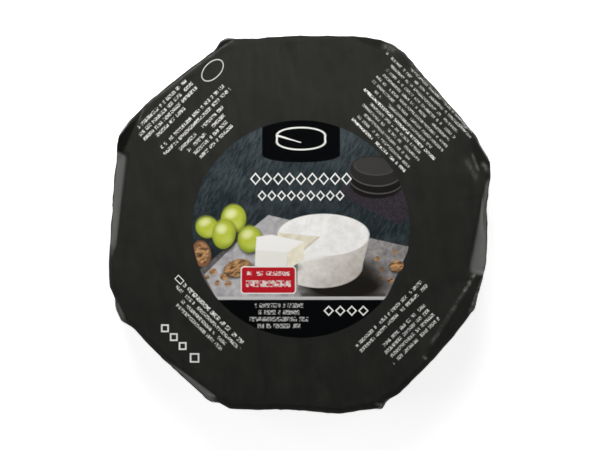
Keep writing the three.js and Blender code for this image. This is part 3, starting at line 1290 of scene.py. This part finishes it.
@dataclass
class Wrapper:
    """The paper: one sheet laid over the wheel and folded down, pleated at eight corners."""

    FLAT = "flat_place"
    CORNER_FOLD = 0.5
    WING_FOLD = 1.5

    top: float = 29.45
    edge: float = 4.5
    crown_round: float = 0.6
    ply: float = 0.22
    thickness: float = 0.12
    base_level: float = 0.5
    label_lift: float = 0.2
    label_radius: float = 31.5
    cut_radius: float = 20.0
    pleat_start: float = 4.5
    gusset: float = 0.3827
    widest_wing: float = 11.3
    widest_turn: float = 21.0
    corner_width: float = 2.4
    corner_drop: float = 0.8
    corner_power: float = 1.3
    rows_top: int = 32
    top_crowding: float = 1.6
    rows_slope: int = 12
    rows_round: int = 3
    rows_wall: int = 21
    rows_edge: int = 6
    rows_base: int = 15
    strips_outer: int = 58
    strips_tuck: int = 5
    strips_inner: int = 40
    flat_across: float = 246.0
    seed: int = 7
    rim_creases: int = 64
    side_creases: int = 14
    top_creases: int = 16
    weld: float = 0.01
    wall_folds: float = 0.22
    wall_crumples: float = 0.10
    top_waves: float = 0.14
    top_crumples: float = 0.05
    panel_sharpness: int = 24
    flat_contrast: float = 2.4
    flat_level: float = 1.25
    # painted shade fades in over this depth past a facet's line
    shade_depth: float = 0.5
    growth_run: float = 8.0
    rim_run: float = 6.0
    rim_spread: float = 2.5
    rim_wear: float = 0.12
    fold_wear: float = 0.5
    wing_wear: float = 0.25
    # painted shade fades out over this run down from the top
    shade_run: float = 12.0

    panels: tuple[Panel, ...] = (
        Panel(0.6, 57.15, 1.8, 0.7, 1.5),
        Panel(41.8, 58.35, 1.8, 1.0, 1.5),
        Panel(90.3, 57.15, 1.8, 0.6, 1.5),
        Panel(128.0, 57.7, 1.8, 1.0, 1.5),
        Panel(176.8, 57.2, 1.8, 0.8, 1.5),
        Panel(226.6, 58.2, 1.8, 0.7, 1.5),
        Panel(266.8, 57.0, 1.8, 0.6, 1.5),
        Panel(317.1, 57.7, 1.8, 0.6, 1.5),
    )
    # the parcel's plan, as corners: the angle and the distance of each
    plan: tuple[Point, ...] = (
        (0.6, 57.1), (6.5, 57.3), (13.5, 59.5), (18.0, 60.7), (22.0, 59.9), (29.0, 59.3), (37.0, 58.4),
        (58.5, 60.8), (63.0, 61.2), (66.5, 61.1), (74.5, 59.2), (90.0, 57.1), (104.0, 58.1), (111.0, 60.1),
        (113.6, 60.1), (116.0, 58.6), (124.0, 57.7), (128.0, 57.6), (142.5, 59.3), (149.5, 60.0),
        (154.0, 61.0), (156.3, 60.4), (160.0, 59.1), (164.0, 58.3), (170.0, 57.5), (176.8, 57.1),
        (192.0, 59.1), (198.5, 60.7), (202.0, 60.5), (204.5, 61.2), (208.3, 61.3), (210.0, 60.6),
        (212.0, 59.4), (217.0, 58.8), (226.6, 58.1), (240.0, 59.5), (243.5, 60.1), (246.0, 59.5),
        (249.5, 59.8), (258.0, 57.6), (263.0, 56.6), (267.0, 56.4), (272.0, 56.7), (276.0, 57.3),
        (282.0, 58.9), (287.0, 59.3), (294.0, 61.0), (296.0, 59.7), (300.5, 59.6), (308.0, 58.2),
        (317.0, 57.6), (324.0, 57.8), (334.0, 58.8), (340.0, 58.2), (348.0, 58.1), (354.0, 57.4),
    )
    # the fourth number of a facet, where given, is its painted shade
    pressed_facets: tuple[Facet, ...] = (
        Facet((-47.0, 35.5), (-53.6, 20.6), 0.42, 1.0),
        Facet((-51.8, 20.3), (-55.0, -6.5), 1.85, ends=1.2, soft=0.4),
        Facet((-54.8, -3.0), (-55.5, -8.0), 1.3, ends=4.5, soft=0.4),
        Facet((-25.2, 52.2), (-20.1, 55.9), 0.45, 1.0),
        Facet((15.4, 56.4), (24.0, 52.6), 0.4, 0.55, ends=1.0),
        Facet((25.0, 54.3), (33.0, 49.9), 1.15, ends=1.5),
        Facet((49.9, 30.1), (53.9, 17.5), 0.42, 0.35),
        Facet((56.1, 13.0), (50.9, -13.4), 1.85, ends=1.4, soft=0.4),
        Facet((-54.8, -22.8), (-51.9, -30.0), 1.3, ends=1.0),
        Facet((-44.6, -37.6), (-26.0, -51.2), 1.5),
        Facet((37.7, -40.4), (52.9, -15.5), 0.2),
    )
    pleats: tuple[Pleat, ...] = (
        Pleat(0.9, 0.3, 15, lead=9),
        Pleat(1.0, 0.3, 25),
        Pleat(0.75, 0.3, 15),
        Pleat(1.0, 0.2, 14, lead=4),
        Pleat(0.95, 0.3, 20),
        Pleat(1.0, 0.2, 8),
        Pleat(0.7, 0.3, 12),
        Pleat(1.0, 0.2, 15),
    )
    creases: tuple[Crease, ...] = (
        Crease((38.0, -41.0), (45.3, -28.3), 0.35, 1.8),
        Crease((45.3, -28.3), (50.0, -18.7), 0.35, 1.8),
        Crease((50.5, 22.0), (53.5, 4.0), -0.2, 0.5),
        Crease((52.5, 20.5), (54.8, 8.0), 0.25, 0.5),
        Crease((49.0, 23.5), (51.0, 12.0), 0.12, 0.5),
        Crease((53.5, 6.0), (52.5, -10.0), 0.15, 0.5),
        Crease((24.0, 54.5), (24.6, 50.5), 0.22, 0.5),
        Crease((-40.0, 39.5), (-21.0, 54.5), 0.15, 0.6),
        Crease((13.0, -54.0), (25.0, -51.0), -0.15, 0.6),
        Crease((-52.5, -20.0), (-50.5, 10.0), 0.10, 1.0),
        Crease((-26.5, -49.5), (-38.5, -38.5), 0.12, 0.8),
    )

    def __post_init__(self) -> None:
        """Work out where the corner lines are, and scatter the small creases."""
        count = len(self.panels)
        self.corners = [self.crossing(self.panels[i], self.panels[(i + 1) % count]) for i in range(count)]
        self.small_creases = self.scatter()

    @staticmethod
    def crossing(first: Panel, second: Panel) -> float:
        """Return the angle at which two panels' lines cross, in degrees."""
        here = direction(first.facing)
        there = direction(second.facing)
        cross = here.x * there.y - here.y * there.x
        x = (first.distance * there.y - second.distance * here.y) / cross
        y = (second.distance * here.x - first.distance * there.x) / cross
        return math.degrees(math.atan2(y, x)) % (2 * HALF_TURN_DEGREES)

    def scatter(self) -> list[Crease]:
        """Return all creases: those listed, small ones round the rim and faint ones on the top."""
        draw = random.Random(self.seed)
        creases = list(self.creases)
        for _ in range(self.rim_creases):
            out = direction(draw.uniform(0, 2 * HALF_TURN_DEGREES))
            along = Vector((-out.y, out.x)) * draw.uniform(-3, 3)
            start = out * draw.uniform(47, 52)
            end = out * draw.uniform(55, 60) + along
            height = draw.uniform(-0.15, 0.15)
            creases.append(Crease(tuple(start), tuple(end), height, draw.uniform(0.35, 0.8)))
        for _ in range(self.side_creases):
            start = (draw.uniform(51, 56.4), draw.uniform(5, 21))
            end = (draw.uniform(52, 56.8), draw.uniform(-15, 4))
            creases.append(Crease(start, end, draw.uniform(-0.22, 0.22), draw.uniform(0.35, 0.6)))
        for _ in range(self.top_creases):
            middle = direction(draw.uniform(0, 2 * HALF_TURN_DEGREES)) * draw.uniform(5, 44)
            reach = direction(draw.uniform(0, HALF_TURN_DEGREES)) * draw.uniform(6, 17)
            height = draw.uniform(-0.05, 0.05)
            width = draw.uniform(0.7, 1.5)
            creases.append(Crease(tuple(middle - reach), tuple(middle + reach), height, width))
        return creases

    # -- the plan --

    def outline(self, angle: float) -> float:
        """Return how far the parcel's wall stands from the middle at an angle."""
        angle = (angle - self.plan[0][0]) % (2 * HALF_TURN_DEGREES) + self.plan[0][0]
        after = bisect.bisect_right(self.plan, (angle, math.inf)) % len(self.plan)
        start = direction(self.plan[after - 1][0]) * self.plan[after - 1][1]
        side = direction(self.plan[after][0]) * self.plan[after][1] - start
        out = direction(angle)
        return (start.x * side.y - start.y * side.x) / (out.x * side.y - out.y * side.x)

    def pressed(self, place: Vector) -> float:
        """Return how far the pressed facets lie below the flat top at a place on the plan."""
        return max(facet.depth(place) * facet.slope for facet in self.pressed_facets)

    def crown(self, angle: float) -> tuple[float, float, float]:
        """Return where the flat top ends at an angle, and the drop and power of the slope there."""
        width = drop = power = total = heaviest = 0.0
        for panel in self.panels:
            slant = math.cos(math.radians(angle - panel.facing))
            if slant > 0:
                weight = (slant * self.panels[0].distance / panel.distance) ** self.panel_sharpness
                total += weight
                heaviest = max(heaviest, weight)
                width += weight * panel.width
                drop += weight * panel.drop
                power += weight * panel.power
        flatness = smooth(self.flat_contrast * heaviest / total - self.flat_level)
        start = self.outline(angle) - mix(self.corner_width, width / total, flatness)
        drop = mix(self.corner_drop, drop / total, flatness)
        return start, drop, mix(self.corner_power, power / total, flatness)

    def painted_facet_shade(self, place: Vector) -> float:
        """Return how much painted shade darkens the paper on the pressed facets at a place on the plan."""
        depths = [(facet.pressed, facet.depth(place)) for facet in self.pressed_facets]
        return max(pressed * smooth(depth / self.shade_depth) for pressed, depth in depths)

    # -- the section --

    def rows(self) -> list[tuple[Stretch, float]]:
        """Return the rows from the sheet's middle to its rim, as a stretch and a share of it."""
        rows = [(Stretch.TOP, 0.0)]
        counts = {
            Stretch.TOP: self.rows_top,
            Stretch.SLOPE: self.rows_slope,
            Stretch.ROUND: self.rows_round,
            Stretch.WALL: self.rows_wall,
            Stretch.EDGE: self.rows_edge,
            Stretch.BASE: self.rows_base,
        }
        for stretch, count in counts.items():
            crowding = self.top_crowding if stretch is Stretch.TOP else 1.0
            rows += [(stretch, 1 - (1 - step / count) ** crowding) for step in range(1, count + 1)]
        return rows

    def section(self, angle: float, stretch: Stretch, share: float) -> tuple[float, float, float, float]:
        """Find a point of the parcel's outside, and which way it faces.

        Args:
            angle: The angle round the parcel, in degrees.
            stretch: The stretch of the section.
            share: How far along the stretch.

        Returns:
            The radius, the height, and the outward and upward parts of its normal.
        """
        wall = self.outline(angle)
        start, drop, power = self.crown(angle)
        out = direction(angle)
        if stretch is Stretch.TOP:
            return start * share, self.top - self.pressed(out * start * share), 0.0, 1.0
        tilt = math.atan2(drop * power, wall - start)
        run = wall - self.crown_round * (1 - math.sin(tilt)) - start
        if stretch is Stretch.SLOPE:
            rise = drop * power * max(share, 1e-6) ** (power - 1)
            length = math.hypot(rise, run)
            fall = max(drop * share**power, self.pressed(out * (start + run * share)))
            return start + run * share, self.top - fall, rise / length, run / length
        drop = max(drop, self.pressed(out * (start + run)))
        low = self.top - drop - self.crown_round * math.cos(tilt)
        if stretch is Stretch.ROUND:
            turn = mix(tilt, math.pi / 2, share)
            radius = wall - self.crown_round * (1 - math.sin(turn))
            return radius, low + self.crown_round * math.cos(turn), math.sin(turn), math.cos(turn)
        if stretch is Stretch.WALL:
            return wall, mix(low, self.base_level + self.edge, share), 1.0, 0.0
        if stretch is Stretch.EDGE:
            turn = share * math.pi / 2
            radius = wall - self.edge * (1 - math.cos(turn))
            return radius, self.base_level + self.edge * (1 - math.sin(turn)), math.cos(turn), -math.sin(turn)
        return mix(wall - self.edge, self.cut_radius, share), self.base_level, 0.0, -1.0

    # -- the pleats --

    def strips(self) -> list[Strip]:
        """Return the sheet's strips, once round."""
        strips = []
        count = len(self.panels)
        steps = self.strips_tuck
        for panel in range(0, count, 2):
            before = (panel - 1) % count
            tuck = [Strip(Layer.TUCK, panel, i / steps, 1.0, before) for i in range(steps + 1)]
            strips.append(Strip(Layer.TUCK, panel, 0.0, self.CORNER_FOLD, before, -0.1))
            strips += tuck
            strips.append(Strip(Layer.TUCK, panel, 1.0, self.WING_FOLD, before, 0.14))
            for i in range(self.strips_outer):
                strips.append(Strip(Layer.OUTER, panel, i / (self.strips_outer - 1), 2.0))
            strips.append(Strip(Layer.TUCK, panel, 1.0, self.WING_FOLD, panel, 0.14))
            strips += [Strip(Layer.TUCK, panel, 1 - i / steps, 1.0, panel) for i in range(steps + 1)]
            strips.append(Strip(Layer.TUCK, panel, 0.0, self.CORNER_FOLD, panel, -0.1))
            for i in range(self.strips_inner):
                strips.append(Strip(Layer.INNER, panel + 1, i / (self.strips_inner - 1), 0.0))
        return strips

    def turn(self, corner: int, down: float, radius: float) -> float:
        """Return how far a wing's free edge has moved past its corner line, in degrees."""
        wave = 0.25 * noise.noise(Vector((corner * 9.1, down / 6, 0.5)))
        lateral = self.gusset * max(0.0, down - self.pleat_start) * self.pleats[corner].reach
        lateral = min(self.widest_wing, lateral) * (1 + 0.1 * wave)
        return min(self.widest_turn, math.degrees(math.asin(min(0.9, lateral / max(radius, 1.0)))))

    def swing(self, strip: Strip, down: float, radius: float) -> tuple[float, float]:
        """Find where a strip lies round the parcel.

        Args:
            strip: The strip.
            down: How far the paper has run down from where the top ends.
            radius: How far from the middle it is.

        Returns:
            The angle in degrees, and how far out on a wing it lies, from 0 to 1.
        """
        before = self.corners[strip.panel - 1]
        after = self.corners[strip.panel]
        if after < before:
            before -= 2 * HALF_TURN_DEGREES
        if strip.layer is Layer.INNER:
            return mix(before, after, strip.share), 0.0
        if strip.layer is Layer.TUCK:
            side = 1 if strip.corner == strip.panel else -1
            line = after if side == 1 else before
            turn = self.turn(strip.corner, down, radius)
            aside = math.degrees(strip.aside / max(radius, 1.0)) * smooth(turn)
            return line + side * (turn * strip.share + aside), strip.share
        turn_before = self.turn((strip.panel - 1) % len(self.panels), down, radius)
        turn_after = self.turn(strip.panel, down, radius)
        angle = mix(before - turn_before, after + turn_after, strip.share)
        lead_before = self.pleats[strip.panel - 1].lead
        lead_after = self.pleats[strip.panel].lead
        out_before = (before + lead_before - angle) / (turn_before + lead_before)
        out_after = (angle - after + lead_after) / (turn_after + lead_after)
        return angle, min(1.0, max(0.0, out_before, out_after))

    def nearest_pleat(self, strip: Strip) -> Pleat:
        """Return the pleat at the nearer end of a strip."""
        if strip.layer is Layer.TUCK:
            return self.pleats[strip.corner]
        return self.pleats[strip.panel if strip.share > 0.5 else strip.panel - 1]

    def unrolled(self, panel: Panel, place: Vector, angle: float, run: float) -> Vector:
        """Return where a point of a panel lies on the flat sheet.

        Args:
            panel: The panel that the point is on.
            place: The point, on the plan.
            angle: Its angle, in degrees.
            run: How far it is past the end of the flat top.

        Returns:
            The place on the flat sheet.
        """
        out = direction(panel.facing)
        aside = Vector((-out.y, out.x))
        start = direction(angle) * self.crown(angle)[0]
        return out * (start.dot(out) + run) + aside * place.dot(aside)

    def wrinkles(self, angle: float, height: float) -> float:
        """Return how far the wall's paper stands in or out, from creased noise."""
        turn = direction(angle) * 7
        broad = noise.noise(Vector((turn.x, turn.y, height / 26)))
        fine = noise.noise(Vector((turn.x * 3 + 40, turn.y * 3, height / 9)))
        return self.wall_folds * (0.6 - 2 * abs(broad)) + self.wall_crumples * (0.6 - 2 * abs(fine))

    @staticmethod
    def wrinkled(stretch: Stretch, share: float) -> float:
        """Return how much of the wall's wrinkles a row has: they fade in above it and out below it."""
        if stretch is Stretch.ROUND:
            return share
        return 1 - share if stretch is Stretch.EDGE else 1.0

    def undulation(self, place: Vector) -> float:
        """Return how far the top paper rises and falls at a place on the plan."""
        broad = noise.noise(Vector((place.x / 21, place.y / 34, 2.7)))
        fine = noise.noise(Vector((place.x / 7, place.y / 13, 9.1)))
        return self.top_waves * broad + self.top_crumples * (0.5 - 2 * abs(fine))

    def follow(self, strip: Strip) -> list[tuple[Vector, Vector]]:
        """Lay one strip over the parcel, from the middle of the top to the sheet's rim.

        Args:
            strip: The strip.

        Returns:
            For each row its place in space, and its place on the flat sheet with wear less painted shade as
            third number.
        """
        laid = []
        down = 0.0
        radius, height = 0.0, self.top
        angle = self.swing(strip, 0.0, 1.0)[0]
        pleat = self.nearest_pleat(strip)
        for stretch, share in self.rows():
            before = (radius, height)
            radius, height, outward, upward = self.section(angle, stretch, share)
            if stretch > Stretch.TOP:
                down += math.hypot(radius - before[0], height - before[1])
            angle, on_wing = self.swing(strip, down, radius)
            radius, height, outward, upward = self.section(angle, stretch, share)
            plan = direction(angle) * radius
            grown = smooth((down - self.pleat_start) / self.growth_run)
            under = smooth(stretch - Stretch.EDGE + share) if stretch >= Stretch.EDGE else 0.0
            stack = strip.stack
            if strip.layer is Layer.OUTER:
                stack *= max(smooth(on_wing * 1.6), under)
            lift = self.ply * stack * grown
            if strip.layer is not Layer.INNER and stretch < Stretch.BASE:
                away = (down - pleat.flare_depth) / pleat.flare_spread
                stands = min(1.0, max(0.0, 1.3 * on_wing - 0.2)) ** 1.3
                lift += pleat.flare * math.exp(-away * away) * stands * grown
            if stretch is Stretch.TOP:
                lift += self.undulation(plan)
            elif stretch is Stretch.SLOPE:
                lift += self.undulation(plan) * (1 - share)
            if stretch <= Stretch.ROUND:
                lift += sum(crease.lift(plan) for crease in self.small_creases)
            if Stretch.ROUND <= stretch <= Stretch.EDGE:
                lift += self.wrinkles(angle, height) * self.wrinkled(stretch, share)
            radius += outward * lift
            height += upward * lift
            if stretch is Stretch.BASE:
                height += self.label_lift * smooth((self.label_radius + 1 - radius) / 2)
            place = direction(angle) * radius
            sheet = self.sheet_place(strip, plan, angle, down, on_wing)
            laid.append((Vector((place.x, place.y, height)), sheet))
        return laid

    def sheet_place(self, strip: Strip, plan: Vector, angle: float, down: float, on_wing: float) -> Vector:
        """Return a point's place on the flat sheet, with its wear less its painted shade as third number."""
        if down <= 0:
            # on the top, the third number is the painted shade of the pressed facets, below 0
            return Vector((plan.x, plan.y, -self.painted_facet_shade(plan)))
        place = self.unrolled(self.panels[strip.panel], plan, angle, down)
        if strip.layer is Layer.TUCK:
            step = 1 if strip.corner == strip.panel else -1
            other = self.panels[(strip.panel + step) % len(self.panels)]
            place = self.unrolled(other, plan, angle, down).lerp(place, strip.share)
        grown = smooth(down / self.rim_run)
        fold = 1.0 if strip.stack == self.WING_FOLD else self.wing_wear * on_wing
        rim = math.exp(-(((down - self.rim_run) / self.rim_spread) ** 2))
        wear = max(self.fold_wear * fold, self.rim_wear * rim) * grown
        # painted shade of the pressed facets, fading out as the paper runs down
        tone = self.painted_facet_shade(plan) * (1 - smooth(down / self.shade_run))
        return Vector((place.x, place.y, wear - tone))

    def build(self) -> bpy.types.Object:
        """Spin a flat sheet, fold it over the wheel and give it its thickness."""
        strips = self.strips()
        rows = self.rows()
        shape = spun([(float(row), 0.0, 0.0) for row in range(len(rows))], len(strips))
        flat = shape.verts.layers.float_vector.new(self.FLAT)
        laid = [self.follow(strip) for strip in strips]
        step = FULL_TURN / len(strips)
        for vertex in shape.verts:
            row = round(vertex.co.xy.length)
            column = round(math.atan2(vertex.co.y, vertex.co.x) / step) % len(strips) if row else 0
            place, sheet = laid[column][row]
            vertex.co = place
            vertex[flat] = sheet
        bmesh.ops.remove_doubles(shape, verts=shape.verts, dist=self.weld)
        bmesh.ops.recalc_face_normals(shape, faces=shape.faces)
        piece = finished("outer_paper", shape, BlackPaper().make())
        wall = piece.modifiers.new("thickness", "SOLIDIFY")
        wall.thickness = self.thickness * MM
        wall.offset = -1
        return piece

    def hand_over(self) -> bpy.types.Object:
        """Build the paper, hide the imported wrapper that it replaces and attach it to the body."""
        piece = self.build()
        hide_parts("outer_wrapper")
        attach(piece, BODY)
        return piece


# ---- what lies inside and beneath ----------------------------------------------------------------


@dataclass
class Disc:
    """Profile of a disc with rounded edges, between two heights."""

    radius: float
    low: float
    high: float
    edge: float
    bulge: float = 0.0

    def profile(self, opening: float, flat_steps: int, round_steps: int, side_steps: int) -> list[tuple]:
        """Work out the profile's points.

        Args:
            opening: The radius of the hole left in the base, or 0.
            flat_steps: How many steps the flat faces have.
            round_steps: How many steps the rounded edges have.
            side_steps: How many steps the side has.

        Returns:
            Points in the XZ plane, from the base, up the side, to the middle of the top.
        """
        inner = self.radius - self.edge
        points = [(mix(opening, inner, i / flat_steps), 0.0, self.low) for i in range(flat_steps)]
        for i in range(round_steps):
            turn = math.pi / 2 * i / round_steps
            rise = self.edge * (1 - math.cos(turn))
            points.append((inner + self.edge * math.sin(turn), 0.0, self.low + rise))
        for i in range(side_steps):
            share = i / side_steps
            swell = self.bulge * math.sin(math.pi * share)
            height = mix(self.low + self.edge, self.high - self.edge, share)
            points.append((self.radius + swell, 0.0, height))
        for i in range(round_steps):
            turn = math.pi / 2 * i / round_steps
            fall = self.edge * (1 - math.sin(turn))
            points.append((inner + self.edge * math.cos(turn), 0.0, self.high - fall))
        points += [(inner * (1 - i / flat_steps), 0.0, self.high) for i in range(flat_steps)]
        points.append((0.0, 0.0, self.high))
        return points


@dataclass
class Film:
    """The clear film round the wheel, crinkled, and gathered under the middle of the base."""

    steps: int = 168
    gathers: int = 22
    thickness: float = 0.05
    opening: float = 4.0
    crinkle: float = 0.11
    crinkle_size: float = 5.0
    gather_depth: float = 0.16
    gather_reach: float = 34.0
    gather_swirl: float = 3.0
    flat_across: float = 204.0

    def build(self) -> bpy.types.Object:
        """Spin the film, crinkle it and gather it."""
        disc = Disc(radius=55.5, low=1.65, high=28.6, edge=5.2)
        profile = disc.profile(self.opening, flat_steps=14, round_steps=6, side_steps=8)
        shape = spun(profile, self.steps)
        for vertex in shape.verts:
            ridge = 1 - 2 * abs(noise.noise(vertex.co / self.crinkle_size))
            move = vertex.normal * (self.crinkle * (ridge - 0.4))
            if vertex.co.z < disc.low + 0.1:
                angle = math.atan2(vertex.co.y, vertex.co.x)
                nearness = smooth(1.4 - vertex.co.xy.length / self.gather_reach)
                wave = math.cos(self.gathers * angle + self.gather_swirl * nearness)
                move.z += self.gather_depth * nearness * wave
            vertex.co += move
        bmesh.ops.recalc_face_normals(shape, faces=shape.faces)
        piece = finished("clear_film", shape, ClearFilm().make())
        wall = piece.modifiers.new("thickness", "SOLIDIFY")
        wall.thickness = self.thickness * MM
        wall.offset = 0
        return piece

    def hand_over(self) -> bpy.types.Object:
        """Build the film, hide the imported film that it replaces and attach it to the body."""
        piece = self.build()
        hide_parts("inner_film")
        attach(piece, BODY)
        return piece


@dataclass
class Wheel:
    """The cheese: a moulded disc under a white rind, a little uneven."""

    steps: int = 144
    unevenness: float = 0.16
    lump_size: float = 11.0
    dimple_size: float = 3.5

    def build(self) -> bpy.types.Object:
        """Spin the wheel and make it uneven."""
        disc = Disc(radius=54.6, low=2.3, high=27.9, edge=5.0, bulge=0.2)
        profile = disc.profile(0.0, flat_steps=16, round_steps=7, side_steps=9)
        shape = spun(profile, self.steps)
        for vertex in shape.verts:
            lump = noise.noise(vertex.co / self.lump_size) + 0.5 * noise.noise(vertex.co / self.dimple_size)
            vertex.co += vertex.normal * (self.unevenness * lump)
        bmesh.ops.recalc_face_normals(shape, faces=shape.faces)
        return finished("cheese", shape, BloomyRind().make())

    def hand_over(self) -> bpy.types.Object:
        """Build the wheel, hide the imported wheel that it replaces and attach it to the body."""
        piece = self.build()
        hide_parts("cheese_wheel")
        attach(piece, BODY)
        return piece


@dataclass
class Label:
    """The round label that holds the folds shut under the base."""

    radius: float = 31.0
    thickness: float = 0.15
    segments: int = 128
    rings: int = 6
    rim_bevel: float = 0.03

    def build(self) -> bpy.types.Object:
        """Cut a disc, inset it into rings and give it its thickness."""
        shape = bmesh.new()
        bmesh.ops.create_circle(shape, cap_ends=True, radius=self.radius, segments=self.segments)
        face = shape.faces[:]
        for _ in range(self.rings):
            bmesh.ops.inset_region(shape, faces=face, thickness=self.radius / (self.rings + 1.5), depth=0)
        bmesh.ops.recalc_face_normals(shape, faces=shape.faces)
        grown = bmesh.ops.extrude_face_region(shape, geom=shape.faces[:])
        risen = [item for item in grown["geom"] if isinstance(item, bmesh.types.BMVert)]
        bmesh.ops.translate(shape, verts=risen, vec=(0, 0, self.thickness))
        bmesh.ops.recalc_face_normals(shape, faces=shape.faces)
        rim = [edge for edge in shape.edges if edge.calc_face_angle(0) > math.radians(60)]
        bmesh.ops.bevel(
            shape,
            geom=rim,
            offset=self.rim_bevel,
            offset_type="OFFSET",
            segments=1,
            profile=0.5,
            affect="EDGES",
            material=-1,
        )
        return finished("round_label", shape, LabelPaper().make())

    def hand_over(self) -> bpy.types.Object:
        """Build the label, hide the imported label that it replaces and attach it to the body."""
        piece = self.build()
        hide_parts("base_label")
        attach(piece, BODY)
        return piece


# ---- all of it -----------------------------------------------------------------------------------


def main() -> None:
    """Set up the studio, build each piece and note the sizes."""
    logging.basicConfig(level=logging.INFO)
    studio = Studio()
    studio.camera()
    studio.lights()
    studio.table()
    for maker in (Wheel(), Film(), Wrapper(), Label()):
        piece = maker.hand_over()
        LOG.info("%s: %d faces", piece.name, len(piece.data.polygons))


if __name__ == "__main__":
    main()
